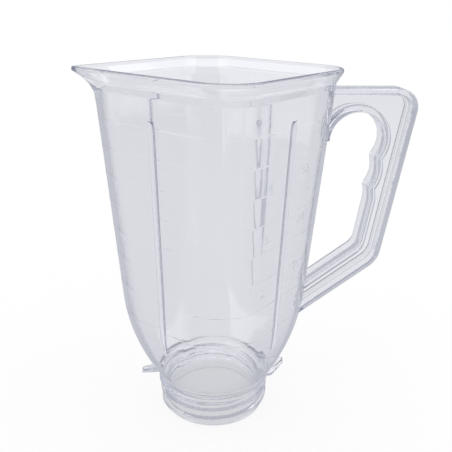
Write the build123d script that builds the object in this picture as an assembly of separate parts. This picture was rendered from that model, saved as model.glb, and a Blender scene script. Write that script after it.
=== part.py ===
# Clear moulded blender jar: a square tapered body on a round neck, in one piece
# Millimetres. Origin at the centre of the neck's lower end, +Z up, handle along +X, spout along -X
from build123d import *
import math
import os

# Height and walls
jar_height = 216.7
wall = 3.0
rim_wall = 2.8

# Neck: the round lower end that takes the blade unit and its nut
neck_root_radius = 33.2
bore_radius = 29.5
bore_length = 19.5
ledge_rise = 3.0
ledge_step = 0.6
collar_start = 16.8
collar_rise = 2.6
collar_radius = 35.9
neck_height = 25.0
neck_edge_chamfer = 0.8

# Shoulder and body: half widths run from the axis to a flat side, radii are at the corners
neck_half_width = 36.0
neck_corner_radius = 35.3
shoulder_height = 55.0
shoulder_flare = 0.54
shoulder_corner_flare = 0.17
body_half_width = 48.8
body_corner_radius = 29.3
mouth_half_width = 53.9
mouth_corner_radius = 21.6

# Lip and spout
lip_height = 6.7
lip_step = 0.9
rim_half_width = 56.6
rim_corner_radius = 22.0
rim_edge = 2.0
rim_chamfer = 0.9
spout_height = 11.7
spout_tip_radius = 4.5
spout_run = 8.5

# Inner ribs, one down the middle of each flat side
rib_thickness = 2.8
rib_depth = 2.8
rib_top_gap = 22.7
rib_top_slope = 6.0
rib_foot_rise = 15.0

# Handle, drawn in the plane through the spout
handle_width = 14.5
handle_flange = 3.6
handle_web = 3.0
handle_edge_chamfer = 0.8
handle_top_gap = 10.9
handle_reach = 117.3
handle_top_radius = 11.5
handle_elbow_gap = 117.1
handle_elbow_radius = 15.0
grip_lean = 8.0
grip_depth = 15.0
arm_slope = 36.4
arm_depth = 16.2
top_arm_depth = 13.2
arch_radius = 16.4
gap_corner_radius = 9.0
pocket_corner_radius = 6.0
finger_start = 9.2
finger_pitch = 18.5
finger_bump = 2.6
finger_round = 5.0

# Locking lugs, a pair of ramped fins on the collar
lug_reach = 47.4
lug_shoulder = 37.5
lug_lead = 3.5
lug_tail = 9.5
lug_thickness = 3.4
lug_ramp = 20.0
lug_z = 22.3
lug_round = 1.5
lug_heel_round = 4.0

# How far solids run into each other before they are joined or cut
overlap = 1.0
spout_undercut = 0.3

# Heights that follow from the sizes above
lip_z = jar_height - lip_height
spout_z = jar_height - spout_height
body_z = neck_height + shoulder_height
handle_top_z = jar_height - handle_top_gap
handle_elbow_z = jar_height - handle_elbow_gap
rib_top_z = jar_height - rib_top_gap
rib_foot_z = neck_height + rib_foot_rise

# Lines of the handle in X and Z: the outer side of the grip and the underside of the lower arm
lean = math.radians(grip_lean)
slope = math.radians(arm_slope)
grip_direction = Vector(-math.sin(lean), -math.cos(lean))
grip_normal = Vector(math.cos(lean), -math.sin(lean))
arm_direction = Vector(-math.cos(slope), -math.sin(slope))
arm_normal = Vector(math.sin(slope), -math.cos(slope))
grip_top = Vector(handle_reach, handle_top_z)
grip_elbow = grip_top + grip_direction * ((handle_top_z - handle_elbow_z) / math.cos(lean))
handle_root_x = bore_radius


def square_section(height, half_width, corner_radius, spout_radius=None):
    """Square with its corners on the X and Y axes; the spout corner, at -X, may have its own radius."""
    radii = [corner_radius] * 4
    if spout_radius is not None:
        radii[2] = spout_radius
    arcs = []
    for quarter, radius in enumerate(radii):
        turn = 90 * quarter
        centre = Vector((half_width - radius) * math.sqrt(2), 0).rotate(Axis.Z, turn)
        arcs.append(CenterArc(centre, radius, turn - 45, 90))
    outline = []
    for quarter, arc in enumerate(arcs):
        following = arcs[(quarter + 1) % 4]
        outline.append(arc)
        outline.append(Line(arc @ 1, following @ 0))
    return Pos(0, 0, height) * make_face(outline)


def flank(height):
    """Half width and corner radius of the body's straight flank, carried on as a line past its ends."""
    share = (height - body_z) / (lip_z - body_z)
    half_width = body_half_width + share * (mouth_half_width - body_half_width)
    radius = body_corner_radius + share * (mouth_corner_radius - body_corner_radius)
    return half_width, radius


def shoulder(height):
    """Half width and corner radius of the shoulder, which flares from the neck and runs into the flank."""
    t = (height - neck_height) / shoulder_height
    start_weight = 1 - 3 * t**2 + 2 * t**3
    start_slope_weight = shoulder_height * (t - 2 * t**2 + t**3)
    end_slope_weight = shoulder_height * (t**3 - t**2)
    flank_run = lip_z - body_z
    half_width_slope = (mouth_half_width - body_half_width) / flank_run
    radius_slope = (mouth_corner_radius - body_corner_radius) / flank_run
    half_width = neck_half_width * start_weight + body_half_width * (1 - start_weight)
    half_width += shoulder_flare * start_slope_weight + half_width_slope * end_slope_weight
    radius = neck_corner_radius * start_weight + body_corner_radius * (1 - start_weight)
    radius += shoulder_corner_flare * start_slope_weight + radius_slope * end_slope_weight
    return half_width, radius


def flank_form(inset, top_z):
    """Straight flank, drawn in by inset: four flat sides, with a right cone rounding each corner."""
    def touch(height, side):
        half_width, radius = flank(height)
        radius -= inset
        middle = (half_width - inset - radius) * math.sqrt(2)
        return Vector(middle + radius / math.sqrt(2), side * radius / math.sqrt(2), height)

    def ring(height):
        points = []
        for quarter in range(4):
            for side in (-1, 1):
                points.append(touch(height, side).rotate(Axis.Z, 90 * quarter))
        return points

    low = ring(body_z)
    high = ring(top_z)
    faces = [Face(Wire.make_polygon(low)), Face(Wire.make_polygon(high))]
    for place in range(len(low)):
        faces.append(Face(Wire.make_polygon([low[place - 1], low[place], high[place], high[place - 1]])))
    core = Solid(Shell(faces))

    # The cone's own point is where the corner radius runs out, on the line where the flat sides would meet;
    # it is cut off half way down to the flank's top
    half_width_slope = (mouth_half_width - body_half_width) / (lip_z - body_z)
    radius_slope = (mouth_corner_radius - body_corner_radius) / (lip_z - body_z)
    point_z = body_z - (body_corner_radius - inset) / radius_slope
    point = Vector((flank(point_z)[0] - inset) * math.sqrt(2), 0, point_z)
    side_normal = Vector(1, 1, -half_width_slope * math.sqrt(2)).normalized()
    ruling = (touch(body_z, 1) - point).normalized()
    half_angle = math.atan2(ruling.Y, side_normal.Y)
    axis = ruling * math.cos(half_angle) - side_normal * math.sin(half_angle)
    wide_reach = (body_z - body_corner_radius - point_z) / axis.Z
    narrow_reach = (point_z - top_z) / 2
    wide_end = Plane(point + axis * wide_reach, x_dir=(-1, 0, axis.X / axis.Z), z_dir=-axis)
    cone = Solid.make_cone(
        wide_reach * math.tan(half_angle),
        narrow_reach * math.tan(half_angle),
        wide_reach - narrow_reach,
        wide_end,
    )
    level = Plane((0, 0, body_z)) * Circle(point.X)
    corner = cone & extrude(level, top_z - body_z)
    for quarter in range(4):
        core += Rot(0, 0, 90 * quarter) * corner
    return core


def shoulder_form(inset, flank_solid):
    """Round-to-square shoulder between neck and flank, drawn in from the outer surface by inset."""
    span_count = 6
    sections = []
    for step in range(span_count):
        height = neck_height + shoulder_height * step / span_count
        half_width, radius = shoulder(height)
        sections.append(square_section(height, half_width - inset, radius - inset))
    sections.append(flank_solid.faces().sort_by(Axis.Z)[0])
    return loft(sections)


def flank_section(height, inset):
    """Section of the straight flank, drawn in by inset."""
    half_width, radius = flank(height)
    return square_section(height, half_width - inset, radius - inset)


def body():
    """Shoulder and flank as a full solid, up to just inside the lip."""
    sides = flank_form(0, lip_z + overlap)
    return shoulder_form(0, sides) + sides


def inside():
    """Space in the jar: shoulder, flank, and the mouth that flares with the lip and spout."""
    sides = flank_form(wall, spout_z)
    rim = square_section(
        jar_height,
        rim_half_width - rim_wall,
        rim_corner_radius - rim_wall,
        spout_tip_radius - rim_wall,
    )
    mouth = loft([sides.faces().sort_by(Axis.Z)[-1], rim], ruled=True)
    return shoulder_form(wall, sides) + sides + mouth


def neck():
    """Turned neck: thread root, end chamfer and the collar under the shoulder."""
    profile = Polyline(
        (0, 0),
        (neck_root_radius - neck_edge_chamfer, 0),
        (neck_root_radius, neck_edge_chamfer),
        (neck_root_radius, collar_start),
        (collar_radius, collar_start + collar_rise),
        (collar_radius, neck_height + overlap),
        (0, neck_height + overlap),
        close=True,
    )
    return revolve(Plane.XZ * make_face(profile), Axis.Z)


def bore():
    """Round way through the neck, with the sloped ledge that leads up into the body."""
    inner_radius = neck_half_width - wall - ledge_step
    profile = Polyline(
        (0, -overlap),
        (bore_radius, -overlap),
        (bore_radius, bore_length),
        (inner_radius, bore_length + ledge_rise),
        (inner_radius, neck_height + overlap),
        (0, neck_height + overlap),
        close=True,
    )
    return revolve(Plane.XZ * make_face(profile), Axis.Z)


def lip():
    """Flared lip: a small step out from the body, a flare, and an upright rim, sharp at the spout."""
    start = square_section(lip_z, mouth_half_width + lip_step, mouth_corner_radius + lip_step)
    sections = [start]
    for height in (jar_height - rim_edge, jar_height):
        sections.append(square_section(height, rim_half_width, rim_corner_radius, spout_tip_radius))
    return loft(sections, ruled=True)


def spout():
    """Flare under the spout: it leaves the corner below the lip, and its edges climb to the lip's line."""
    start = flank_section(spout_z, spout_undercut)
    end_z = jar_height - rim_edge
    end = square_section(end_z, rim_half_width - lip_step, rim_corner_radius, spout_tip_radius)
    flare = loft([start, end], ruled=True)
    half_width, radius = flank(spout_z)
    corner_x = -(half_width - radius) * math.sqrt(2) - radius
    beyond_x = -rim_half_width * math.sqrt(2)
    profile = Polyline(
        (corner_x, spout_z),
        (corner_x + spout_run, lip_z),
        (corner_x + spout_run, jar_height),
        (beyond_x, jar_height),
        (beyond_x, spout_z),
        close=True,
    )
    return flare & extrude(Plane.XZ * make_face(profile), rim_half_width, both=True)


def rib():
    """Upright rib on the inside of one flat side, bevelled at the top and lost in the shoulder below."""
    def tip(height):
        return flank(height)[0] - wall - rib_depth

    def seat(height):
        return flank(height)[0] - wall / 2

    bevel_z = rib_top_z - rib_top_slope
    profile = Polyline(
        (tip(rib_foot_z), rib_foot_z),
        (tip(bevel_z), bevel_z),
        (seat(rib_top_z) - wall / 2, rib_top_z),
        (seat(rib_top_z), rib_top_z),
        (seat(rib_foot_z), rib_foot_z),
        close=True,
    )
    return extrude(Plane.XZ * make_face(profile), rib_thickness / 2, both=True)


def crossing(point, direction, other_point, other_direction):
    """Point where two lines in the handle's plane meet."""
    gap = other_point - point
    spread = direction.X * other_direction.Y - direction.Y * other_direction.X
    reach = (gap.X * other_direction.Y - gap.Y * other_direction.X) / spread
    return point + direction * reach


def handle_outline(inset, top_radius, elbow_radius):
    """Outside of the handle in X and Z, drawn in by inset and carried on into the jar."""
    root = Vector(handle_root_x, handle_top_z - inset)
    side = grip_top - grip_normal * inset
    under = grip_elbow - arm_normal * inset
    corner = crossing(root, Vector(1, 0), side, grip_direction)
    elbow = crossing(side, grip_direction, under, arm_direction)
    foot = crossing(under, arm_direction, root, Vector(0, 1))
    radii = [0, top_radius, elbow_radius, 0]
    return make_face(FilletPolyline(root, corner, elbow, foot, radius=radii, close=True))


def finger_gap(grow):
    """Opening for the hand in X and Z, with every side moved out by grow."""
    side = grip_top - grip_normal * (grip_depth - grow)
    under = grip_elbow - arm_normal * (arm_depth - grow)
    arch_level = Vector(handle_root_x, handle_top_z - top_arm_depth - arch_radius)
    arch_line = grip_top - grip_normal * (grip_depth + arch_radius)
    arch_centre = crossing(arch_level, Vector(1, 0), arch_line, grip_direction)
    arch_touch = arch_centre + grip_normal * (arch_radius + grow)
    corner = crossing(side, grip_direction, under, arm_direction)
    foot = crossing(under, arm_direction, arch_level, Vector(0, 1))
    radii = [0, 0, 0, gap_corner_radius + grow, 0]
    space = make_face(
        FilletPolyline(arch_level, arch_centre, arch_touch, corner, foot, radius=radii, close=True)
    )
    space += Pos(arch_centre) * Circle(arch_radius + grow)

    # Finger ridges: between them the valleys are arcs that touch the grip's straight line
    half_pitch = finger_pitch / 2
    valley_radius = (half_pitch**2 + finger_bump**2) / (2 * finger_bump) + grow
    ridge_height = valley_radius - math.sqrt(valley_radius**2 - half_pitch**2)
    for ridge in range(2):
        place = arch_touch + grip_direction * (finger_start + ridge * finger_pitch)
        upper = place - grip_direction * half_pitch
        lower = place + grip_direction * half_pitch
        crest = place - grip_normal * ridge_height
        upper_arc = TangentArc(upper, crest, tangent=grip_direction)
        lower_arc = TangentArc(lower, crest, tangent=-grip_direction)
        bump = make_face([upper_arc, lower_arc, Line(upper, lower)])
        space -= fillet(bump.vertices().sort_by_distance(crest)[0], finger_round)
    return space


def handle():
    """Handle of I section: a flange all round the grip and the gap, with a thin web between."""
    half_width = handle_width / 2
    profile = handle_outline(0, handle_top_radius, handle_elbow_radius) - finger_gap(0)
    solid = extrude(Plane.XZ * profile, half_width, both=True)
    pocket = handle_outline(handle_flange, pocket_corner_radius, handle_elbow_radius - handle_flange)
    pocket -= finger_gap(handle_flange)
    depth = half_width - handle_web / 2
    hollow = extrude(Plane.XZ.offset(handle_web / 2) * pocket, depth + overlap)
    sides = solid.faces().filter_by(Axis.Y)
    solid = chamfer(sides.edges(), handle_edge_chamfer)
    return solid - hollow - mirror(hollow, Plane.XZ)


def lug():
    """Ramped locking fin on the handle side: it climbs and reaches out towards its leading end."""
    root = Vector(bore_radius, 0)
    outline = FilletPolyline(
        (root.X, -lug_tail),
        (lug_shoulder, -lug_tail),
        (lug_reach, 0),
        (lug_reach, lug_lead),
        (root.X, lug_lead),
        radius=[0, lug_heel_round, lug_heel_round, lug_round, 0],
        close=True,
    )
    fin = extrude(make_face(outline), lug_thickness / 2, both=True)
    return Pos(0, 0, lug_z) * Rot(lug_ramp, 0, 0) * fin


def jar():
    """The whole moulding."""
    full_body = body()
    outside = full_body + neck() + lip() + spout() + handle()
    for turn in (0, 180):
        outside += Rot(0, 0, turn) * lug()
    shell = outside - inside() - bore()
    for quarter in range(4):
        shell += Rot(0, 0, 45 + 90 * quarter) * rib() & full_body
    moulding = shell.solid()
    rim_face = moulding.faces().sort_by(Axis.Z)[-1]
    moulding = moulding.chamfer(rim_chamfer, None, rim_face.outer_wire().edges())
    rim_face = moulding.faces().sort_by(Axis.Z)[-1]
    return moulding.chamfer(rim_chamfer, None, rim_face.inner_wires()[0].edges())


os.makedirs("parts", exist_ok=True)
export_step(jar(), "parts/jar.step")
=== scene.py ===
# %% [markdown]
# # A clear blender jar, moulded in one shot
# The real jar is a single injection moulding of clear plastic: a round threaded neck, a shoulder that turns
# square, a tapered body with four inner ribs, a lip with a pouring corner, a handle and two locking lugs.
# Clear plastic shows every surface inside it, so the pieces can't just overlap as they might in an opaque
# model. Each form is made by itself below, and at the end all are united into one watertight mesh.

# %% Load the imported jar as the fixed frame
import math

import bmesh
import bpy
import numpy as np
from mathutils import Matrix, Vector


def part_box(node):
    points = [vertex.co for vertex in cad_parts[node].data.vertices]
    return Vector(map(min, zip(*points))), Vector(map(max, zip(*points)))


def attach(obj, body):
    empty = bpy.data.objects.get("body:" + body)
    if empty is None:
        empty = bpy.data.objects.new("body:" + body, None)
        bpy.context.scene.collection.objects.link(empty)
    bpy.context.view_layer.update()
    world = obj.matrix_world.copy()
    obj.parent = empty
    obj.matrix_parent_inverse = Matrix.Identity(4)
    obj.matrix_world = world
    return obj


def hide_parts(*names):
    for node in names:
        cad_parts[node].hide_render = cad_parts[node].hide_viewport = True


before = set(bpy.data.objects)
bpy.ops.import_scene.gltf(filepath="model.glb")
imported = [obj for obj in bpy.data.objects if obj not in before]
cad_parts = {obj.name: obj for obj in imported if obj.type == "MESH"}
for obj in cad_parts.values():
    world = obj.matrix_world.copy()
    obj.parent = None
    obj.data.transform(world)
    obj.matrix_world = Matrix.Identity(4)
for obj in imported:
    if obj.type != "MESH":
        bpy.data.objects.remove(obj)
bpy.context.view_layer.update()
scene = bpy.context.scene
MM = 0.001

# %% [markdown]
# ## Sizes
# Every size is in millimetres, and the heights are measured up from the end of the neck. The body is a square
# with its corners on the X and Y axes. A half width runs from the axis to a flat side, and the radius is the
# rounding of the corner. Both change with height, and that is all there is to the shape of the body.

# %% Sizes of the body
jar_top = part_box("jar")[1].z / MM
wall = 3.0
rim_wall = 2.8
neck_root = 33.2
bore = 29.5
collar_foot = 16.8
collar_top = 19.4
collar_radius = 35.9
shoulder_foot = 25.0
body_foot = 80.0
# Each pair is for the half width and for the corner radius.
neck_size = (36.0, 35.3)
body_size = (48.8, 29.3)
mouth_size = (53.9, 21.6)
rim_size = (56.6, 22.0)
shoulder_flare = (0.54, 0.17)
lip_line = jar_top - 6.7
spout_foot = jar_top - 11.7
rim_foot = jar_top - 2.0
spout_tip = 4.5
print("jar is", round(jar_top, 2), "mm tall, lip line at", round(lip_line, 2))

# %% Half width and corner radius at a height
def flank(height):
    """Straight sides: both sizes change evenly from the body's foot to the lip."""
    share = (height - body_foot) / (lip_line - body_foot)
    return tuple(low + share * (high - low) for low, high in zip(body_size, mouth_size))


def shoulder(height):
    """Round neck to square body: a cubic that leaves the collar with a flare and runs into the flank."""
    run = body_foot - shoulder_foot
    t = (height - shoulder_foot) / run
    weight = 1 - 3 * t**2 + 2 * t**3
    sizes = []
    for low, high, top, flare in zip(neck_size, body_size, mouth_size, shoulder_flare):
        end_slope = (top - high) / (lip_line - body_foot)
        curve = flare * run * (t - 2 * t**2 + t**3) + end_slope * run * (t**3 - t**2)
        sizes.append(low * weight + high * (1 - weight) + curve)
    return tuple(sizes)


print("half width and corner radius at 50, 80 and 200 mm:", shoulder(50), flank(80), flank(200))

# %% [markdown]
# ## One helper for nodes
# The wall, the ribs and the lugs are made by Geometry Nodes, and the finishes by shader nodes. Both kinds of
# tree are built by the same small function: it adds a node, sets its properties, and fills each input either
# with a plain value or with a link from another socket.

# %% Node helper
def add(tree, kind, inputs=None, **settings):
    """Add a node, with its settings, and its inputs as values or links."""
    made = tree.nodes.new(kind)
    for name, value in settings.items():
        setattr(made, name, value)
    for socket, value in (inputs or {}).items():
        if isinstance(value, bpy.types.NodeSocket):
            tree.links.new(value, made.inputs[socket])
        else:
            made.inputs[socket].default_value = value
    return made


def new_tree(name, inputs, outputs):
    """Start a Geometry Nodes tree with named inputs and outputs, and return it with its two end nodes."""
    tree = bpy.data.node_groups.new(name, "GeometryNodeTree")
    for direction, sockets in (("INPUT", inputs), ("OUTPUT", outputs)):
        for label, kind in sockets.items():
            tree.interface.new_socket(label, in_out=direction, socket_type="NodeSocket" + kind)
    return tree, tree.nodes.new("NodeGroupInput"), tree.nodes.new("NodeGroupOutput")


def run_tree(name, base_mesh, tree, values):
    """Put the tree on a mesh with these input values, and return the result as a plain mesh object."""
    carrier = bpy.data.objects.new(name + "_carrier", base_mesh)
    scene.collection.objects.link(carrier)
    modifier = carrier.modifiers.new("form", "NODES")
    modifier.node_group = tree
    for socket in tree.interface.items_tree:
        if socket.in_out == "INPUT" and socket.name in values:
            modifier[socket.identifier] = values[socket.name]
    depsgraph = bpy.context.evaluated_depsgraph_get()
    mesh = bpy.data.meshes.new_from_object(carrier.evaluated_get(depsgraph))
    carrier.modifiers.remove(modifier)
    bpy.data.objects.remove(carrier)
    made = bpy.data.objects.new(name, mesh)
    scene.collection.objects.link(made)
    return made


def measure(thing):
    """Print the volume of a closed mesh; it is negative if the faces point inwards."""
    probe = bmesh.new()
    probe.from_mesh(thing.data)
    cubic_metres = probe.calc_volume(signed=True)
    open_edges = sum(not edge.is_manifold for edge in probe.edges)
    probe.free()
    size = round(cubic_metres * 1e6, 3)
    print(thing.name, len(thing.data.polygons), "faces,", size, "cm3,", open_edges, "open edges")


# %% [markdown]
# ## The finish: injection-moulded polycarbonate
# Such jars are moulded from polycarbonate or a clear copolymer. It bends light more than window glass does,
# so edges go dark and corners flash. The tool's polish leaves it glossy, with a slight waviness where the
# melt flowed, and a trace of blue-grey dye hides the resin's natural yellow. The dye is given as absorption
# inside the wall, so it hardly shows in a thin wall and gathers along the rim, where light runs a long way.

# %% Clear polycarbonate
def linear(hex_colour):
    """Linear colour of an sRGB hex value."""
    parts = [int(hex_colour[i:i + 2], 16) / 255 for i in (1, 3, 5)]
    return tuple(c / 12.92 if c <= 0.04045 else ((c + 0.055) / 1.055) ** 2.4 for c in parts) + (1.0,)


def clear_polycarbonate():
    """Polished clear plastic with a faint flow waviness and a dye that deepens with thickness."""
    flow_width = 14.0
    flow_depth = 0.02
    material = bpy.data.materials.new("clear_polycarbonate")
    material.use_nodes = True
    tree = material.node_tree
    tree.nodes.clear()
    place = add(tree, "ShaderNodeTexCoord")
    flow = add(
        tree,
        "ShaderNodeTexNoise",
        {"Vector": place.outputs["Object"], "Scale": 1 / (flow_width * MM), "Detail": 2.0, "Roughness": 0.4},
    )
    waviness = add(
        tree,
        "ShaderNodeBump",
        {"Height": flow.outputs[0], "Distance": flow_depth * MM, "Strength": 1.0},
    )
    plastic = add(
        tree,
        "ShaderNodeBsdfPrincipled",
        {
            "Base Color": linear("#fcfcfd"),
            "Roughness": 0.04,
            "IOR": 1.586,
            "Transmission Weight": 1.0,
            "Normal": waviness.outputs["Normal"],
        },
    )
    tint = add(tree, "ShaderNodeVolumeAbsorption", {"Color": linear("#b4bad4"), "Density": 4.0})
    add(
        tree,
        "ShaderNodeOutputMaterial",
        {"Surface": plastic.outputs[0], "Volume": tint.outputs[0]},
    )
    return material


polycarbonate = clear_polycarbonate()
print("finish:", polycarbonate.name)

# %% [markdown]
# ## The rule of the wall: a rounded square, seen from its axis
# The wall could be lofted from drawn sections, but its shape follows a rule. At every height it is a rounded
# square, so its distance from the axis in any direction can be worked out. Near a corner the direction meets
# the corner's arc, and elsewhere it meets the flat side. A node group holds that rule, and anything that has
# to lie on the wall can use it.

# %% Node group: distance from the axis to a rounded square
quarter = math.pi / 4
reach_tree, reach_in, reach_out = new_tree(
    "rounded_square_reach",
    {"Angle": "Float", "Half Width": "Float", "Corner Radius": "Float", "Spout Radius": "Float"},
    {"Reach": "Float"},
)
known = {socket.name: socket for socket in reach_in.outputs}
for result, operation, *values in (
    ("turned", "WRAP", "Angle", quarter, -quarter),
    ("off corner", "ABSOLUTE", "turned"),
    ("facing", "COSINE", "Angle"),
    ("at spout", "LESS_THAN", "facing", -math.cos(quarter)),
    ("sharper", "SUBTRACT", "Spout Radius", "Corner Radius"),
    ("radius", "MULTIPLY_ADD", "sharper", "at spout", "Corner Radius"),
    ("inset", "SUBTRACT", "Half Width", "radius"),
    ("centre", "MULTIPLY", "inset", math.sqrt(2)),
    ("side", "MULTIPLY", "radius", math.sqrt(0.5)),
    ("ahead", "ADD", "centre", "side"),
    ("arc ends", "ARCTAN2", "side", "ahead"),
    ("on arc", "LESS_THAN", "off corner", "arc ends"),
    ("cosine", "COSINE", "off corner"),
    ("sine", "SINE", "off corner"),
    ("along", "MULTIPLY", "centre", "cosine"),
    ("across", "MULTIPLY", "centre", "sine"),
    ("across squared", "MULTIPLY", "across", "across"),
    ("radius squared", "MULTIPLY", "radius", "radius"),
    ("left over", "SUBTRACT", "radius squared", "across squared"),
    ("chord", "SQRT", "left over"),
    ("to arc", "ADD", "along", "chord"),
    ("slant", "SUBTRACT", quarter, "off corner"),
    ("slant cosine", "COSINE", "slant"),
    ("to flat", "DIVIDE", "Half Width", "slant cosine"),
    ("gain", "SUBTRACT", "to arc", "to flat"),
    ("reach", "MULTIPLY_ADD", "gain", "on arc", "to flat"),
):
    inputs = {place: known.get(value, value) for place, value in enumerate(values)}
    known[result] = add(reach_tree, "ShaderNodeMath", inputs, operation=operation).outputs[0]
reach_tree.links.new(known["reach"], reach_out.inputs["Reach"])
print("rule:", len(reach_tree.nodes), "nodes")

# %% [markdown]
# ## The profile: one row for each height
# The tree needs the sizes row by row, up the outside, over the rim and down the inside to the bore. Each row
# is a point of a small mesh that carries its sizes as attributes. Rows are close together where the wall
# bends and far apart where it is straight. Some rows also carry a share of the screw thread, of a raised
# graduation line, or of the dip that the lip's line makes below the spout.

# %% Rows of the wall
ROW_SIZES = ("half_width", "corner_radius", "spout_radius", "dip", "thread", "line")
thread_row = 0.3
thread_top = 20.4
line_height = 0.07
line_width = 0.5
line_levels = (71.5, 91.5, 109.5, 126.5, 143.0, 159.0, 175.0, 190.5)
past_line = 8.0
dip_start = lip_line - 12.0
dip_levels = (200.0, 203.0, 206.0, 208.5)
lip_step = 0.9
lip_step_height = 0.6
spout_bend = 1.8
rim_round = 0.9
finest_tip = 1.2
shoulder_steps = 28
flank_steps = 12
lip_steps = 10
rim_steps = 5
rows = []


def row(height, half_width, radius, spout_radius=None, dip=0.0, thread=0.0, line=0.0):
    """Add one row to the profile."""
    spout_radius = radius if spout_radius is None else spout_radius
    rows.append((height, half_width, radius, spout_radius, dip, thread, line))


# %% Rows of the neck
def neck_rows():
    """Neck end, thread root and collar, all round."""
    edge = 0.8
    middle = 0.25
    for height, inset in ((0.0, edge), (middle, middle)):
        row(height, neck_root - inset, neck_root - inset)
    steps = round((thread_top - edge) / thread_row)
    for step in range(steps + 1):
        height = edge + (thread_top - edge) * step / steps
        climb = min(max((height - collar_foot) / (collar_top - collar_foot), 0), 1)
        radius = neck_root + climb * (collar_radius - neck_root)
        row(height, radius, radius, thread=1.0)
    for height, flare in ((21.4, 0.0), (24.4, 0.0), (24.9, 0.05)):
        row(height, collar_radius + flare, collar_radius + flare)


neck_rows()
print("neck:", len(rows), "rows")

# %% Rows of the sides
def line_rows(level, sizes):
    """Rows of one raised line: guards on both sides keep its bend from spreading over the wall."""
    for offset, share in ((-0.9, 0), (-0.5, 0), (-0.2, 1), (0.2, 1), (0.5, 0), (0.9, 0)):
        at = level + offset * line_width
        row(at, *sizes(at), line=share)


def side_rows():
    """Shoulder, and the flank with its graduation lines."""
    for step in range(1, shoulder_steps):
        height = shoulder_foot + (body_foot - shoulder_foot) * step / shoulder_steps
        if all(abs(level - height) > line_width for level in line_levels):
            row(height, *shoulder(height))
        if height < line_levels[0] < height + (body_foot - shoulder_foot) / shoulder_steps:
            line_rows(line_levels[0], shoulder)
    row(body_foot, *flank(body_foot))
    for level in line_levels[1:]:
        line_rows(level, flank)
        row(level + past_line, *flank(level + past_line))


side_rows()
print("up to the lip:", len(rows), "rows")

# %% Rows of the lip and the rim
def lip_rows():
    """The lip: its line dips at the spout, and the corner sharpens up to the tip."""
    lip_fillet = ((-1.3, 0.0), (-0.9, 0.06), (-0.5, 0.24), (-0.1, 0.5), (0.3, 0.76))
    for height in dip_levels:
        row(height, *flank(height), dip=(height - dip_start) / (lip_line - dip_start))
    for rise, out in lip_fillet:
        half_width, radius = flank(lip_line + rise)
        row(lip_line + rise, half_width + out, radius + out, dip=1.0)
    for step in range(lip_steps + 1):
        share = step / lip_steps
        height = lip_line + lip_step_height + share * (rim_foot - lip_line - lip_step_height)
        half_width = mouth_size[0] + lip_step + share * (rim_size[0] - mouth_size[0] - lip_step)
        radius = mouth_size[1] + lip_step + share * (rim_size[1] - mouth_size[1] - lip_step)
        sharp = radius + (spout_tip - radius) * share**spout_bend
        row(height, half_width, radius, sharp, dip=1 - share)


def rim_rows():
    """Rounded top of the rim, outside to inside."""
    for inner in (False, True):
        for step in range(rim_steps + 1):
            turn = math.radians(90 * (1 - step / rim_steps if inner else step / rim_steps))
            inset = rim_round * (1 - math.cos(turn))
            height = jar_top - rim_round + rim_round * math.sin(turn)
            if inner:
                inset = rim_wall - inset
            tip = max(spout_tip - inset, finest_tip)
            row(height, rim_size[0] - inset, rim_size[1] - inset, tip)


lip_rows()
rim_rows()
print("over the rim:", len(rows), "rows")

# %% Rows of the inside
def inner_rows():
    """Mouth, flank and shoulder on the inside, then the ledge and the bore."""
    foot = tuple(size - wall for size in flank(spout_foot))
    rim = tuple(size - rim_wall for size in rim_size)
    inner_tip = spout_tip - rim_wall
    ledge = ((24.6, 3.1), (24.2, 2.9), (22.7, 2.9), (22.3, 2.7), (19.7, 0.2), (19.3, 0.0))
    bore_down = ((15.0, 0.0), (8.0, 0.0), (0.4, 0.0), (0.1, 0.1), (0.0, 0.4), (0.0, 1.7))
    for step in range(1, lip_steps + 1):
        share = 1 - step / lip_steps
        height = spout_foot + share * (jar_top - rim_round - spout_foot)
        sizes = [low + share * (high - low) for low, high in zip(foot, rim)]
        sharp = foot[1] + share * (inner_tip - foot[1])
        row(height, *sizes, sharp)
    for step in range(1, flank_steps + 1):
        height = spout_foot + (body_foot - spout_foot) * step / flank_steps
        row(height, *(size - wall for size in flank(height)))
    for step in range(1, shoulder_steps + 1):
        height = body_foot + (shoulder_foot - body_foot) * step / shoulder_steps
        row(height, *(size - wall for size in shoulder(height)))
    for height, wider in ledge + bore_down:
        row(height, bore + wider, bore + wider)


inner_rows()
print("profile:", len(rows), "rows")

# %% The rows as a mesh
def profile_mesh(name, profile):
    """A mesh with one point for each row, and the row's sizes as attributes in metres or shares."""
    lengths = ROW_SIZES[:3]
    mesh = bpy.data.meshes.new(name)
    mesh.from_pydata([(0, 0, entry[0] * MM) for entry in profile], [], [])
    for place, label in enumerate(ROW_SIZES, start=1):
        factor = MM if label in lengths else 1.0
        values = np.array([entry[place] * factor for entry in profile], dtype=np.float32)
        mesh.attributes.new(label, "FLOAT", "POINT").data.foreach_set("value", values)
    return mesh


# %% [markdown]
# ## The wall: a grid wrapped round the axis
# A grid has one line of points for each row of the profile and one for each direction round the jar. The tree
# looks up the row's sizes, asks the rule for the reach in that direction, adds the thread or the raised line,
# and sets the point there. Directions crowd together at the spout, where the corner is sharp. The seams close
# by merging, which leaves a ring-shaped skin with an outside and an inside: a wall with real thickness.

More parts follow.
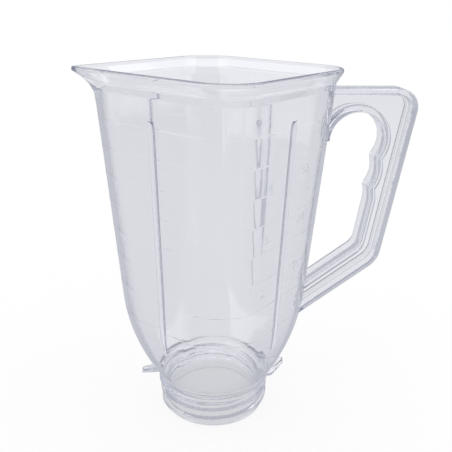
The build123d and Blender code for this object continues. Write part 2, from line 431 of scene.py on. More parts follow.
# %% Node tree of the wall
wall_tree, wall_in, wall_out = new_tree(
    "moulded_wall",
    {
        "Geometry": "Geometry",
        "Rows": "Int",
        "Columns": "Int",
        "Crowding": "Float",
        "Lip Half Width": "Float",
        "Lip Corner Radius": "Float",
        "Spout Dip": "Float",
        "Spout Run": "Float",
        "Thread Pitch": "Float",
        "Thread Height": "Float",
        "Thread Phase": "Float",
        "Thread Start": "Float",
        "Thread End": "Float",
        "Line Height": "Float",
        "Rib Gap": "Float",
        "Finish": "Material",
    },
    {"Geometry": "Geometry"},
)
known = {socket.name: socket for socket in wall_in.outputs}
profile = wall_in.outputs["Geometry"]
known["index"] = add(wall_tree, "GeometryNodeInputIndex").outputs[0]
for result, operation, *values in (
    ("ring rows", "ADD", "Rows", 1.0),
    ("ring columns", "ADD", "Columns", 1.0),
    ("lines before", "DIVIDE", "index", "ring columns"),
    ("grid row", "FLOOR", "lines before"),
    ("row", "MODULO", "grid row", "Rows"),
    ("column", "MODULO", "index", "ring columns"),
    ("round share", "DIVIDE", "column", "Columns"),
    ("even angle", "MULTIPLY", "round share", 2 * math.pi),
    ("swing", "SINE", "even angle"),
    ("angle", "MULTIPLY_ADD", "swing", "Crowding", "even angle"),
):
    inputs = {place: known.get(value, value) for place, value in enumerate(values)}
    known[result] = add(wall_tree, "ShaderNodeMath", inputs, operation=operation).outputs[0]

# %% Look up the row's sizes and the reach
for label in ROW_SIZES:
    field = add(wall_tree, "GeometryNodeInputNamedAttribute", {"Name": label}, data_type="FLOAT").outputs[0]
    looked_up = add(
        wall_tree,
        "GeometryNodeSampleIndex",
        {"Geometry": profile, "Value": field, "Index": known["row"]},
        data_type="FLOAT",
    )
    known[label] = looked_up.outputs[0]
place_field = add(wall_tree, "GeometryNodeInputPosition").outputs[0]
row_place = add(
    wall_tree,
    "GeometryNodeSampleIndex",
    {"Geometry": profile, "Value": place_field, "Index": known["row"]},
    data_type="FLOAT_VECTOR",
).outputs[0]
known["level"] = add(wall_tree, "ShaderNodeSeparateXYZ", {0: row_place}).outputs["Z"]
for label, half_width, radius, spout_radius in (
    ("plain reach", "half_width", "corner_radius", "spout_radius"),
    ("lip reach", "Lip Half Width", "Lip Corner Radius", "Lip Corner Radius"),
):
    rule = add(
        wall_tree,
        "GeometryNodeGroup",
        {
            "Angle": known["angle"],
            "Half Width": known[half_width],
            "Corner Radius": known[radius],
            "Spout Radius": known[spout_radius],
        },
        node_tree=reach_tree,
    )
    known[label] = rule.outputs["Reach"]

# %% Where a point lies on the thread, on a raised line and by the spout
for result, operation, *values in (
    ("turns", "DIVIDE", "angle", 2 * math.pi),
    ("climb", "DIVIDE", "level", "Thread Pitch"),
    ("wound", "SUBTRACT", "climb", "turns"),
    ("phase", "ADD", "wound", "Thread Phase"),
    ("beside crest", "FRACT", "phase"),
    ("off crest", "SUBTRACT", "beside crest", 0.5),
    ("crest gap", "MULTIPLY", "off crest", "Thread Pitch"),
    ("crest level", "SUBTRACT", "level", "crest gap"),
    ("crest share", "ABSOLUTE", "off crest"),
    ("at corner", "COSINE", "angle"),
    ("lip x", "MULTIPLY", "at corner", "lip reach"),
    ("flat angle", "WRAP", "angle", math.pi / 2, 0.0),
    ("off middle", "SUBTRACT", "flat angle", quarter),
    ("middle sine", "SINE", "off middle"),
    ("middle side", "MULTIPLY", "middle sine", "plain reach"),
    ("beside rib", "ABSOLUTE", "middle side"),
    ("past rib", "GREATER_THAN", "beside rib", "Rib Gap"),
    ("line share", "MULTIPLY", "line", "past rib"),
    ("raised", "MULTIPLY", "line share", "Line Height"),
):
    inputs = {place: known.get(value, value) for place, value in enumerate(values)}
    known[result] = add(wall_tree, "ShaderNodeMath", inputs, operation=operation).outputs[0]

# %% The thread's ridge, and how it starts and ends
crest_edge = 0.17
crest_foot = 0.40
thread_fade = 0.9 * MM
for result, operation, value in (
    ("full start", "ADD", "Thread Start"),
    ("fading end", "SUBTRACT", "Thread End"),
):
    inputs = {0: known[value], 1: thread_fade}
    known[result] = add(wall_tree, "ShaderNodeMath", inputs, operation=operation).outputs[0]
for label, value, low, high, low_value, high_value in (
    ("ridge", "crest share", crest_edge, crest_foot, 1.0, 0.0),
    ("starts", "crest level", "Thread Start", "full start", 0.0, 1.0),
    ("ends", "crest level", "fading end", "Thread End", 1.0, 0.0),
):
    limits = {"Value": known[value], "From Min": known.get(low, low), "From Max": known.get(high, high)}
    limits.update({"To Min": low_value, "To Max": high_value})
    known[label] = add(wall_tree, "ShaderNodeMapRange", limits, interpolation_type="SMOOTHSTEP").outputs[0]

# %% The point itself, with the dip of the lip's line at the spout
corner = add(
    wall_tree,
    "GeometryNodeGroup",
    {
        "Angle": math.pi,
        "Half Width": known["Lip Half Width"],
        "Corner Radius": known["Lip Corner Radius"],
        "Spout Radius": known["Lip Corner Radius"],
    },
    node_tree=reach_tree,
)
known["corner reach"] = corner.outputs["Reach"]
for result, operation, *values in (
    ("cut ridge", "MULTIPLY", "ridge", "starts"),
    ("whole ridge", "MULTIPLY", "cut ridge", "ends"),
    ("thread share", "MULTIPLY", "whole ridge", "thread"),
    ("with line", "ADD", "plain reach", "raised"),
    ("reach", "MULTIPLY_ADD", "thread share", "Thread Height", "with line"),
    ("from corner", "ADD", "lip x", "corner reach"),
    ("run share", "DIVIDE", "from corner", "Spout Run"),
    ("near spout", "SUBTRACT", 1.0, "run share"),
    ("spout share", "MAXIMUM", "near spout", 0.0),
    ("dip depth", "MULTIPLY", "spout share", "Spout Dip"),
    ("row dip", "MULTIPLY", "dip depth", "dip"),
    ("height", "SUBTRACT", "level", "row dip"),
    ("turned x", "COSINE", "angle"),
    ("turned y", "SINE", "angle"),
    ("x", "MULTIPLY", "turned x", "reach"),
    ("y", "MULTIPLY", "turned y", "reach"),
):
    inputs = {place: known.get(value, value) for place, value in enumerate(values)}
    known[result] = add(wall_tree, "ShaderNodeMath", inputs, operation=operation).outputs[0]

# %% Wrap the grid and close its seams
grid = add(
    wall_tree,
    "GeometryNodeMeshGrid",
    {"Vertices X": known["ring rows"], "Vertices Y": known["ring columns"]},
)
point = add(wall_tree, "ShaderNodeCombineXYZ", {"X": known["x"], "Y": known["y"], "Z": known["height"]})
wrapped = add(
    wall_tree,
    "GeometryNodeSetPosition",
    {"Geometry": grid.outputs["Mesh"], "Position": point.outputs[0]},
)
seam_gap = 0.001 * MM
closed = add(wall_tree, "GeometryNodeMergeByDistance", {"Geometry": wrapped.outputs[0], "Distance": seam_gap})
turned_out = add(wall_tree, "GeometryNodeFlipFaces", {"Mesh": closed.outputs[0]})
real = add(wall_tree, "GeometryNodeRealizeInstances", {"Geometry": turned_out.outputs[0]})
finished = add(
    wall_tree,
    "GeometryNodeSetMaterial",
    {"Geometry": real.outputs[0], "Material": known["Finish"]},
)
wall_tree.links.new(finished.outputs[0], wall_out.inputs["Geometry"])
print("wall tree:", len(wall_tree.nodes), "nodes")

# %% Run the tree
lip_foot = flank(spout_foot)
wall_values = {
    "Rows": len(rows),
    "Columns": 240,
    "Crowding": 0.72,
    "Lip Half Width": lip_foot[0] * MM,
    "Lip Corner Radius": lip_foot[1] * MM,
    "Spout Dip": (lip_line - spout_foot) * MM,
    "Spout Run": 8.5 * MM,
    "Thread Pitch": 6.35 * MM,
    "Thread Height": 2.0 * MM,
    "Thread Phase": -0.616,
    "Thread Start": 3.4 * MM,
    "Thread End": 18.9 * MM,
    "Line Height": line_height * MM,
    "Rib Gap": 4.5 * MM,
    "Finish": polycarbonate,
}
shell = run_tree("jar_moulding", profile_mesh("wall_profile", rows), wall_tree, wall_values)
measure(shell)

# %% [markdown]
# ## The core: a solid that ends in the middle of the wall
# The handle, ribs and lugs have to start inside the wall, or a gap or a second skin would show through the
# clear plastic. The same tree makes a full solid that ends halfway through the wall. The handle and lugs are
# cut off by it, and the ribs are kept only where they lie within it.

# %% Make the core
rows = []
pin = 0.05
core_foot = 6.0
core_top = 212.0
core_steps = 24
for height, radius in ((core_foot, pin), (core_foot, 31.3), (19.0, 31.3), (22.5, 33.8), (24.5, 34.2)):
    row(height, radius, radius)
for step in range(core_steps + 1):
    height = shoulder_foot + (body_foot - shoulder_foot) * step / core_steps
    row(height, *(size - wall / 2 for size in shoulder(height)))
for height in (120.0, 160.0, 200.0, core_top):
    row(height, *(size - wall / 2 for size in flank(height)))
row(core_top, pin, pin)
core_values = dict(wall_values, Rows=len(rows), Columns=160)
core = run_tree("core", profile_mesh("core_profile", rows), wall_tree, core_values)
measure(core)

# %% [markdown]
# ## Slabs with rounded edges
# The handle, its pockets, the finger gap and the lugs are all flat outlines with thickness. A bevel modifier
# could round their edges, but here every outline can be drawn larger or smaller by formula, so a slab is a
# stack of outlines: each layer has a place across the slab and an offset. That gives round edges and the
# slight draft that lets a moulding leave its tool.

# %% Rounded outlines
def rounded_path(corners, radii, arc_points=12):
    """Closed outline through these corners, each rounded by an arc that touches both of its sides."""
    outline = []
    for place, (corner_point, radius) in enumerate(zip(corners, radii)):
        before = (corners[place - 1] - corner_point).normalized()
        after = (corners[(place + 1) % len(corners)] - corner_point).normalized()
        if radius <= 0:
            outline.append(corner_point)
            continue
        half = before.angle(after) / 2
        middle = corner_point + (before + after).normalized() * (radius / math.sin(half))
        first = corner_point + before * (radius / math.tan(half)) - middle
        last = corner_point + after * (radius / math.tan(half)) - middle
        sweep = first.angle_signed(last)
        for step in range(arc_points + 1):
            outline.append(middle + Matrix.Rotation(-sweep * step / arc_points, 2) @ first)
    return outline


# %% Closed skins and slabs
def turn_out(mesh, merge=None):
    """Make all faces of a closed mesh point outwards, after merging points that lie this close."""
    work = bmesh.new()
    work.from_mesh(mesh)
    if merge:
        bmesh.ops.remove_doubles(work, verts=work.verts, dist=merge)
    bmesh.ops.recalc_face_normals(work, faces=work.faces)
    work.to_mesh(mesh)
    work.free()


def skin(name, loops):
    """Closed mesh through a stack of loops that have equally many points, in metres."""
    count = len(loops[0])
    points = [tuple(p) for loop in loops for p in loop]
    faces = [list(range(count)), list(range(len(points) - count, len(points)))[::-1]]
    for layer in range(len(loops) - 1):
        base = layer * count
        for step in range(count):
            after = (step + 1) % count
            faces.append((base + after, base + step, base + count + step, base + count + after))
    mesh = bpy.data.meshes.new(name)
    mesh.from_pydata(points, [], faces)
    turn_out(mesh)
    return mesh


def slab(name, outline, layers):
    """Closed piece from layers of (distance across, offset) of an outline in X and Z."""
    loops = [[Vector((p.x, across, p.y)) * MM for p in outline(offset)] for across, offset in layers]
    made = bpy.data.objects.new(name, skin(name, loops))
    scene.collection.objects.link(made)
    return made


# %% Cut and join
def combine(base, other, operation):
    """Cut, join or intersect a closed mesh for good with another one, which stays."""
    modifier = base.modifiers.new("combine", "BOOLEAN")
    modifier.operation = operation
    modifier.solver = "MANIFOLD"
    modifier.object = other
    depsgraph = bpy.context.evaluated_depsgraph_get()
    mesh = bpy.data.meshes.new_from_object(base.evaluated_get(depsgraph))
    base.modifiers.remove(modifier)
    base.data = mesh
    return base


# %% Layers with rounded edges
edge_steps = 5
cutter_margin = 1.0


def edge_layers(half, edge, outward=False):
    """Layers across a slab whose two edges are rounded by this much; outward opens a cutter instead."""
    layers = []
    for step in range(edge_steps + 1):
        turn = math.radians(90 * step / edge_steps)
        layers.append((half - edge + edge * math.sin(turn), edge * (1 - math.cos(turn))))
    if outward:
        layers.append((half + cutter_margin, edge))
    return [(-across, offset) for across, offset in reversed(layers)] + layers


# %% [markdown]
# ## The handle
# The handle is drawn flat in the plane through the spout: a top arm, a leaning grip, and a lower arm that
# slopes back to the body. Its section is an I, with a flange round the grip and the gap and a thin web
# between, because a thick lump of plastic would shrink and sink as it cooled. Two ridges in the gap part the
# fingers.

# %% Sizes and lines of the handle
handle_half = 7.25
handle_edge = 0.8
flange = 3.6
web_half = 1.5
top_round = 11.5
elbow_round = 15.0
gap_round = 9.0
top_arm = 13.2
elbow_drop = 117.1
lean = math.radians(8.0)
slope = math.radians(36.4)
grip_top = Vector((117.3, jar_top - 10.9))
grip_along = Vector((-math.sin(lean), -math.cos(lean)))
grip_out = Vector((math.cos(lean), -math.sin(lean)))
arm_along = Vector((-math.cos(slope), -math.sin(slope)))
arm_out = Vector((math.sin(slope), -math.cos(slope)))
grip_elbow = grip_top + grip_along * ((grip_top.y - (jar_top - elbow_drop)) / math.cos(lean))
grip_depth = 15.0
arm_depth = 16.2
arch_radius = 16.4
arch_level = grip_top.y - top_arm - arch_radius
finger_start = 9.2
finger_pitch = 18.5
finger_bump = 2.6
finger_round = 5.0
arch_steps = 40
finger_steps = 48
level_line = Vector((1, 0))
upright = Vector((0, 1))
print("grip from", [round(v, 1) for v in grip_top], "to", [round(v, 1) for v in grip_elbow])

# %% Outside of the handle
def meet(point_a, along_a, point_b, along_b):
    """Point where two lines cross."""
    gap = point_b - point_a
    spread = along_a.x * along_b.y - along_a.y * along_b.x
    return point_a + along_a * ((gap.x * along_b.y - gap.y * along_b.x) / spread)


def handle_outside(inset):
    """Outside of the handle, drawn in by inset and carried on into the jar."""
    root = Vector((bore, grip_top.y - inset))
    side = grip_top - grip_out * inset
    under = grip_elbow - arm_out * inset
    top_corner = meet(root, level_line, side, grip_along)
    elbow = meet(side, grip_along, under, arm_along)
    foot = meet(under, arm_along, root, upright)
    radii = [0, top_round - inset, elbow_round - inset, 0]
    return rounded_path([root, top_corner, elbow, foot], radii, arc_points=20)


# %% Finger gap
def finger_gap(grow):
    """Opening for the hand, with every side moved out by grow: arch, two finger ridges, lower corner."""
    root = Vector((bore, arch_level))
    centre = meet(root, level_line, grip_top - grip_out * (grip_depth + arch_radius), grip_along)
    under = grip_elbow - arm_out * (arm_depth - grow)
    side = grip_top - grip_out * (grip_depth - grow)
    outline = [root]
    for step in range(arch_steps + 1):
        turn = math.pi + step / arch_steps * (-math.pi - lean)
        outline.append(centre + Vector((math.cos(turn), math.sin(turn))) * (arch_radius + grow))
    touch = centre + grip_out * arch_radius
    half_pitch = finger_pitch / 2
    valley = (half_pitch**2 + finger_bump**2) / (2 * finger_bump)
    crest = valley - math.sqrt((valley + finger_round)**2 - half_pitch**2)
    crest_run = half_pitch * (finger_round - grow) / (valley + finger_round)
    for step in range(1, finger_steps):
        along = finger_start - half_pitch + 2 * finger_pitch * step / finger_steps
        beside = (along - finger_start + half_pitch) % finger_pitch - half_pitch
        if abs(beside) < crest_run:
            rise = crest + math.sqrt((finger_round - grow)**2 - beside**2)
        else:
            rise = valley - math.sqrt((valley + grow)**2 - (half_pitch - abs(beside))**2)
        outline.append(touch + grip_along * along - grip_out * rise)
    low_corner = meet(side, grip_along, under, arm_along)
    foot = meet(under, arm_along, root, upright)
    bend = rounded_path([outline[-1], low_corner, foot], [0, gap_round + grow, 0], arc_points=14)
    return outline + bend[1:]


# %% Make the handle
handle = slab("handle", handle_outside, edge_layers(handle_half, handle_edge))
gap = slab("gap", finger_gap, edge_layers(handle_half, handle_edge, outward=True))
combine(handle, gap, "DIFFERENCE")
# A pocket goes from the web's fillet up the drafted flange and out over its edge.
pocket_layers = (
    (web_half, flange + 0.9),
    (web_half + 0.25, flange + 0.4),
    (web_half + 0.8, flange + 0.2),
    (handle_half - 0.5, flange),
    (handle_half, flange - 0.25),
    (handle_half + cutter_margin, flange - 0.3),
)
for side in (1, -1):
    layers = [(side * across, offset) for across, offset in pocket_layers]
    pocket = slab("pocket", handle_outside, layers)
    island = slab("island", finger_gap, layers)
    combine(pocket, island, "DIFFERENCE")
    combine(handle, pocket, "DIFFERENCE")
    for spare in (pocket, island):
        bpy.data.objects.remove(spare)
bpy.data.objects.remove(gap)
combine(handle, core, "DIFFERENCE")
measure(handle)

# %% [markdown]
# ## Ribs and lugs: one of each, set round the axis by nodes
# Four upright ribs run down the middle of the flat sides, inside, where they break up the swirl of the food.
# Two ramped lugs on the collar lock the jar into its base with a short turn. Each is made once, and a small
# tree turns copies of it round the axis, so that all of them are alike.

# %% Node tree that repeats a piece round the axis
ring_tree, ring_in, ring_out = new_tree(
    "ring_of_copies",
    {"Geometry": "Geometry", "Copies": "Int", "First Angle": "Float", "Finish": "Material"},
    {"Geometry": "Geometry"},
)
spots = add(ring_tree, "GeometryNodeMeshLine", {"Count": ring_in.outputs["Copies"], "Offset": (0, 0, 0)})
number = add(ring_tree, "GeometryNodeInputIndex").outputs[0]
share = add(ring_tree, "ShaderNodeMath", {0: number, 1: ring_in.outputs["Copies"]}, operation="DIVIDE")
angle = add(
    ring_tree,
    "ShaderNodeMath",
    {0: share.outputs[0], 1: 2 * math.pi, 2: ring_in.outputs["First Angle"]},
    operation="MULTIPLY_ADD",
)
turn = add(ring_tree, "ShaderNodeCombineXYZ", {"Z": angle.outputs[0]})
copies = add(
    ring_tree,
    "GeometryNodeInstanceOnPoints",
    {"Points": spots.outputs[0], "Instance": ring_in.outputs["Geometry"], "Rotation": turn.outputs[0]},
)
real = add(ring_tree, "GeometryNodeRealizeInstances", {"Geometry": copies.outputs[0]})
finished = add(
    ring_tree,
    "GeometryNodeSetMaterial",
    {"Geometry": real.outputs[0], "Material": ring_in.outputs["Finish"]},
)
ring_tree.links.new(finished.outputs[0], ring_out.inputs["Geometry"])
print("ring tree:", len(ring_tree.nodes), "nodes")

# %% Make the ribs
rib_half = 2.3
rib_depth = 1.7
rib_top = jar_top - 22.7
rib_foot = 40.0
rib_slope = 5.0
rib_seat = wall / 2 + 0.6
rib_thinnest = 0.02
nose_steps = 20
straight_steps = 12
slope_steps = 10


def rib_section(height):
    """Section of a rib on the +X side: a seat in the wall and a half-round nose, lower near the rib's top."""
    rise = max(0.0, (height - rib_top + rib_slope) / rib_slope)
    share = math.sqrt(max(1 - rise**2, rib_thinnest**2))
    face = flank(height)[0] - wall
    section = [Vector((face + rib_seat, -rib_half))]
    for step in range(nose_steps + 1):
        turn = math.pi * step / nose_steps
        depth = rib_depth * share * math.sin(turn)
        section.append(Vector((face - depth, -rib_half * math.cos(turn))))
    section.append(Vector((face + rib_seat, rib_half)))
    return [(p.x * MM, p.y * MM, height * MM) for p in section]


slope_foot = rib_top - rib_slope
heights = [rib_foot + (slope_foot - rib_foot) * step / straight_steps for step in range(straight_steps + 1)]
for step in range(1, slope_steps + 1):
    heights.append(rib_top - rib_slope * (1 - math.sin(math.radians(90 * step / slope_steps))))
rib_mesh = skin("rib", [rib_section(height) for height in heights])
ribs = run_tree("ribs", rib_mesh, ring_tree, {"Copies": 4, "First Angle": quarter, "Finish": polycarbonate})
combine(ribs, core, "INTERSECT")
measure(ribs)

# %% Make the lugs
lug_corners = [(bore, -9.5), (37.5, -9.5), (47.4, 0.0), (47.4, 3.5), (bore, 3.5)]
lug_rounds = [0, 4.0, 4.0, 1.5, 0]
lug_half = 1.7
lug_edge = 0.7
lug_level = 22.3
lug_ramp = math.radians(20)
slant_share = 0.45
heel_share = 0.3


def lug_outline(inset):
    """Fin seen from above, drawn in by inset: it reaches out towards its leading end."""
    (root_x, tail), (shoulder_x, _), (reach, heel), (_, lead), _ = lug_corners
    corners = [
        Vector((root_x, tail + inset)),
        Vector((shoulder_x - inset * slant_share, tail + inset)),
        Vector((reach - inset, heel + inset * heel_share)),
        Vector((reach - inset, lead - inset)),
        Vector((root_x, lead - inset)),
    ]
    return rounded_path(corners, lug_rounds, arc_points=8)


lug = slab("lug", lug_outline, edge_layers(lug_half, lug_edge))
lug.data.transform(Matrix.Rotation(math.radians(-90), 4, "X"))
lug.data.transform(Matrix.Translation((0, 0, lug_level * MM)) @ Matrix.Rotation(lug_ramp, 4, "X"))
lugs = run_tree("lugs", lug.data, ring_tree, {"Copies": 2, "First Angle": 0.0, "Finish": polycarbonate})
combine(lugs, core, "DIFFERENCE")
measure(lugs)

# %% [markdown]
# ## Plain numbers
# The real jar has two scales of moulded numbers, one on each side of the front-right rib. They are cut into
# the tool, so they stand out from the jar by a hair. They could be drawn by a bump, but then the mesh alone
# would lack them. So each is typed as text, made a closed mesh, and only then set in place on the leaning
# flat side.

# %% Make the numbers
number_height = 5.0
digit_share = 0.7
number_rise = 0.15
number_sunk = 0.5
left_scale = -19.0
right_scale = 13.5
flat_lean = math.atan((mouth_size[0] - body_size[0]) / (lip_line - body_foot))
flat_turn = -quarter
flat_out = Vector((math.cos(flat_turn), math.sin(flat_turn), 0))
flat_normal = flat_out * math.cos(flat_lean) - Vector((0, 0, math.sin(flat_lean)))
flat_up = flat_out * math.sin(flat_lean) + Vector((0, 0, math.cos(flat_lean)))
flat_right = flat_up.cross(flat_normal)


def number_on_flat(digits, level, beside):
    """A typed number as a closed mesh, standing out slightly from the front-right flat side."""
    typed = bpy.data.curves.new("number_" + digits, "FONT")
    typed.body = digits
    typed.align_x = "CENTER"
    typed.size = number_height / digit_share * MM
    typed.extrude = number_sunk * MM
    typed.resolution_u = 4
    carrier = bpy.data.objects.new("number_carrier", typed)
    scene.collection.objects.link(carrier)
    mesh = bpy.data.meshes.new_from_object(carrier.evaluated_get(bpy.context.evaluated_depsgraph_get()))
    bpy.data.objects.remove(carrier)
    turn_out(mesh, merge=1e-7)
    half_width = flank(level)[0] + number_rise - number_sunk
    centre = flat_out * half_width + flat_right * beside
    centre.z = level
    turned = Matrix((flat_right, flat_up, flat_normal)).transposed().to_4x4()
    mesh.transform(Matrix.Translation(centre * MM) @ turned)
    made = bpy.data.objects.new("number_" + digits, mesh)
    scene.collection.objects.link(made)
    measure(made)
    return made


numbers = []
for digits, level, beside in (
    ("2", 98.7, left_scale),
    ("3", 131.0, left_scale),
    ("4", 160.0, left_scale),
    ("16", 105.3, right_scale),
    ("24", 135.0, right_scale),
    ("32", 163.5, right_scale),
):
    numbers.append(number_on_flat(digits, level, beside))
print("numbers:", [thing.name for thing in numbers])

# %% [markdown]
# ## One moulding
# All forms are closed meshes that overlap inside the wall, so they can now be united. What is left is one
# watertight skin, as the real moulding has. Faces are smooth, and edges that turn by more than the given
# angle stay crisp. Uniting leaves thin slivers beside broad faces, and plain smooth shading would bend the
# light there. Normals that are weighted by area keep the broad faces true.

# %% Unite
crisp_angle = math.radians(38)
for form in (handle, ribs, lugs, *numbers):
    combine(shell, form, "UNION")
for spare in (handle, ribs, lugs, *numbers, lug, core):
    bpy.data.objects.remove(spare)
shell.data.materials.clear()
shell.data.materials.append(polycarbonate)
shell.data.shade_smooth()
shell.data.set_sharp_from_angle(angle=crisp_angle)
even = shell.modifiers.new("even", "WEIGHTED_NORMAL")
even.keep_sharp = True
even_mesh = bpy.data.meshes.new_from_object(shell.evaluated_get(bpy.context.evaluated_depsgraph_get()))
shell.modifiers.remove(even)
shell.data = even_mesh
measure(shell)

# %% [markdown]
# ## Stage and light
# The jar stands on a plain white floor under soft studio light. Clear plastic has no colour of its own: it
# shows what lies behind it, and its edges show what they mirror. In a room that is white all round it would
# vanish. A photographer sets darker cards beside the jar, but cards would suit one side only. Here the floor
# and the room know how a ray came. They are pale if it came straight through the plastic, darker if it was
# mirrored out at an edge, darkest if it was mirrored inward across the jar, and pale again if it was mirrored
# often, as light is that wanders inside a thick handle.

# %% Tone by a ray's way
# Places of the colour sockets on a Mix node.
MIX_A, MIX_B, MIX_RESULT = 6, 7, 2


def ray_tone(tree, paths, straight, edge, inward, often):
    """Tone by a ray's way: straight through, mirrored out at an edge, inward across the jar, or often."""
    tone = edge
    for depth, turns, other in (("Transmission Depth", 2.5, inward), ("Glossy Depth", 2.5, often)):
        past = add(tree, "ShaderNodeMath", {0: paths[depth], 1: turns}, operation="GREATER_THAN").outputs[0]
        inputs = {"Factor": past, MIX_A: tone, MIX_B: other}
        tone = add(tree, "ShaderNodeMix", inputs, data_type="RGBA").outputs[MIX_RESULT]
    mirrored = add(tree, "ShaderNodeMath", {0: paths["Glossy Depth"], 1: 0.5}, operation="GREATER_THAN")
    inputs = {"Factor": mirrored.outputs[0], MIX_A: straight, MIX_B: tone}
    return add(tree, "ShaderNodeMix", inputs, data_type="RGBA").outputs[MIX_RESULT]


# %% Floor
def pale_floor():
    """Matt white board, faintly shadowed by the jar; pale grey seen through or in the plastic, with a painted
    shadow under the neck.
    """
    shadow_share = 0.1
    shadow_start = 100.0
    shadow_reach = 350.0
    # Radii of a painted shadow under the neck, on the floor as seen straight through the plastic.
    painted_shadow_full_radius = 30.0
    painted_shadow_outer_radius = 50.0
    inner_share = 0.15
    material = bpy.data.materials.new("matt_white_board")
    material.use_nodes = True
    tree = material.node_tree
    tree.nodes.clear()
    paths = add(tree, "ShaderNodeLightPath").outputs
    place = add(tree, "ShaderNodeTexCoord").outputs["Object"]
    away = add(tree, "ShaderNodeVectorMath", {0: place}, operation="LENGTH").outputs["Value"]
    clear_share = add(
        tree,
        "ShaderNodeMapRange",
        {
            "Value": away,
            "From Min": shadow_start * MM,
            "From Max": shadow_reach * MM,
            "To Min": 1 - shadow_share,
            "To Max": 1.0,
        },
        interpolation_type="SMOOTHSTEP",
    ).outputs[0]
    past_painted_shadow = add(
        tree,
        "ShaderNodeMapRange",
        {"Value": away, "From Min": painted_shadow_full_radius * MM, "From Max": painted_shadow_outer_radius * MM},
        interpolation_type="SMOOTHSTEP",
    ).outputs[0]
    # Painted shadow: seen straight through the plastic, the floor is #dfe0e3 under the neck and #ecedf1
    # further out.
    straight_tone_with_painted_shadow = add(
        tree,
        "ShaderNodeMix",
        {"Factor": past_painted_shadow, MIX_A: linear("#dfe0e3"), MIX_B: linear("#ecedf1")},
        data_type="RGBA",
    ).outputs[MIX_RESULT]
    tones = [linear(grey) for grey in ("#b8bac4", "#7e808c", "#dcdee4")]
    through_tone = ray_tone(tree, paths, straight_tone_with_painted_shadow, *tones)
    bounced = add(
        tree,
        "ShaderNodeMath",
        {0: paths["Is Glossy Ray"], 1: paths["Is Transmission Ray"]},
        operation="MAXIMUM",
    )
    through = add(tree, "ShaderNodeMath", {0: bounced.outputs[0], 1: 1 - inner_share}, operation="MULTIPLY")
    straight = add(tree, "ShaderNodeMath", {0: paths["Is Camera Ray"], 1: clear_share}, operation="MULTIPLY")
    share = add(tree, "ShaderNodeMath", {0: through.outputs[0], 1: straight.outputs[0]}, operation="MAXIMUM")
    tone = add(
        tree,
        "ShaderNodeMix",
        {"Factor": paths["Is Camera Ray"], MIX_A: through_tone, MIX_B: linear("#ffffff")},
        data_type="RGBA",
    )
    board = add(tree, "ShaderNodeBsdfDiffuse", {"Color": linear("#f4f4f4")})
    glow = add(tree, "ShaderNodeEmission", {"Color": tone.outputs[MIX_RESULT], "Strength": 1.0})
    mixed = add(tree, "ShaderNodeMixShader", {0: share.outputs[0], 1: board.outputs[0], 2: glow.outputs[0]})
    add(tree, "ShaderNodeOutputMaterial", {"Surface": mixed.outputs[0]})
    return material


floor_half = 3.0
floor_mesh = bpy.data.meshes.new("floor")
floor_corners = [(x * floor_half, y * floor_half, 0) for x, y in ((-1, -1), (1, -1), (1, 1), (-1, 1))]
floor_mesh.from_pydata(floor_corners, [], [(0, 1, 2, 3)])
floor_mesh.materials.append(pale_floor())
floor = bpy.data.objects.new("floor", floor_mesh)
scene.collection.objects.link(floor)
print("floor:", 2 * floor_half, "m wide")

# %% Surroundings: tones from level (0) to overhead (1), for each way that a ray can come
world = bpy.data.worlds.new("studio")
scene.world = world
world.use_nodes = True
sky = world.node_tree
sky.nodes.clear()
direction = add(sky, "ShaderNodeTexCoord").outputs["Generated"]
parts = add(sky, "ShaderNodeSeparateXYZ", {0: direction}).outputs
tones = []
for heights in (
    {0.0: "#e8e9ed", 0.3: "#dcdee2", 0.55: "#b4b6bb", 0.8: "#b4b6bb", 1.0: "#ffffff"},
    {0.0: "#b8bac4", 0.12: "#b4b6c0", 0.55: "#b0b2bc", 0.8: "#b4b6be", 1.0: "#ffffff"},
    {0.0: "#7e808c", 0.12: "#7e808c", 0.55: "#8a8c98", 0.8: "#9a9ca8", 1.0: "#ffffff"},
    {0.0: "#dcdee4", 0.12: "#d4d6dd", 0.55: "#ccced6", 0.8: "#ccced6", 1.0: "#ffffff"},
):
    ramp = add(sky, "ShaderNodeValToRGB", {0: parts["Z"]})
    stops = ramp.color_ramp.elements
    while len(stops) < len(heights):
        stops.new(0.5)
    for stop, (height, grey) in zip(stops, heights.items()):
        stop.position = height
        stop.color = linear(grey)
    tones.append(ramp.outputs[0])
paths = add(sky, "ShaderNodeLightPath").outputs
room = ray_tone(sky, paths, *tones)
shown = add(
    sky,
    "ShaderNodeMix",
    {"Factor": paths["Is Camera Ray"], MIX_A: room, MIX_B: linear("#ffffff")},
    data_type="RGBA",
)
background = add(sky, "ShaderNodeBackground", {"Color": shown.outputs[MIX_RESULT], "Strength": 1.0})
add(sky, "ShaderNodeOutputWorld", {"Surface": background.outputs[0]})
print("surroundings:", len(sky.nodes), "nodes")

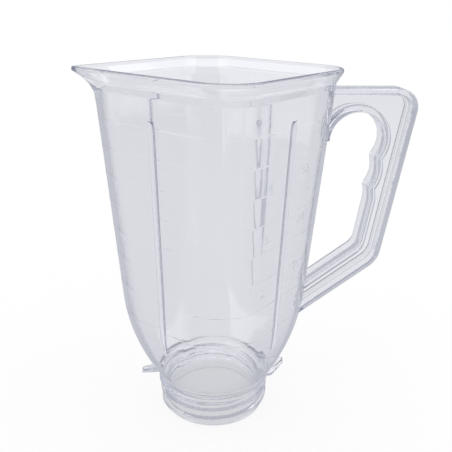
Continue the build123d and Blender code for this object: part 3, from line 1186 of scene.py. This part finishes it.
# %% Soft boxes, placed in metres
lamp_aim = Vector((0, 0, 0.11))
for label, place, size, watts in (
    ("left_box", (-0.8, -0.3, 0.45), (0.7, 1.0), 2.1),
    ("right_box", (0.85, -0.1, 0.5), (0.7, 1.0), 2.1),
    ("top_box", (0.0, 0.2, 1.1), (1.4, 1.4), 5.0),
    ("back_box", (0.0, 1.3, 0.24), (1.6, 0.12), 0.08),
):
    lamp = bpy.data.lights.new(label, "AREA")
    lamp.shape = "RECTANGLE"
    lamp.size, lamp.size_y = size
    lamp.energy = watts
    holder = bpy.data.objects.new(label, lamp)
    aim = lamp_aim - Vector(place)
    holder.matrix_world = Matrix.Translation(place) @ aim.to_track_quat("-Z", "Y").to_matrix().to_4x4()
    scene.collection.objects.link(holder)

# %% [markdown]
# ## Camera
# The camera was fitted to the photograph: it stands a little left of the jar's front corner and looks down
# on it by about 21 degrees, close enough for the mouth to look clearly wider than the neck. Light is mirrored
# many times inside clear plastic before it leaves, and a path that is cut short turns black, so the numbers
# of bounces are raised here.

# %% Camera
camera_place = Vector((-31.2592, -323.9084, 250.537)) * MM
yaw = 0.1163
pitch = 0.3737
roll = 0.0180
focal_pixels = 575.0
image_pixels = 452.0
look = Vector((math.sin(yaw) * math.cos(pitch), math.cos(yaw) * math.cos(pitch), -math.sin(pitch)))
level_right = Vector((math.cos(yaw), -math.sin(yaw), 0))
level_up = level_right.cross(look)
right = level_right * math.cos(roll) + level_up * math.sin(roll)
up = level_up * math.cos(roll) - level_right * math.sin(roll)
lens = bpy.data.cameras.new("camera")
lens.sensor_width = 36.0
lens.lens = focal_pixels / image_pixels * lens.sensor_width
lens.clip_start = 0.01
camera = bpy.data.objects.new("camera", lens)
turned = Matrix((right, up, -look)).transposed()
camera.matrix_world = Matrix.Translation(camera_place) @ turned.to_4x4()
scene.collection.objects.link(camera)
scene.camera = camera
scene.view_settings.view_transform = "Standard"
scene.cycles.max_bounces = 96
scene.cycles.transmission_bounces = 64
scene.cycles.glossy_bounces = 64
print("camera:", [round(v, 4) for v in camera_place], round(lens.lens, 2), "mm lens")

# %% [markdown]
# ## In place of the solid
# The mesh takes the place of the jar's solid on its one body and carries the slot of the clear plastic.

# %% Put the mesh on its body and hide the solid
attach(shell, "root")
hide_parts("jar")
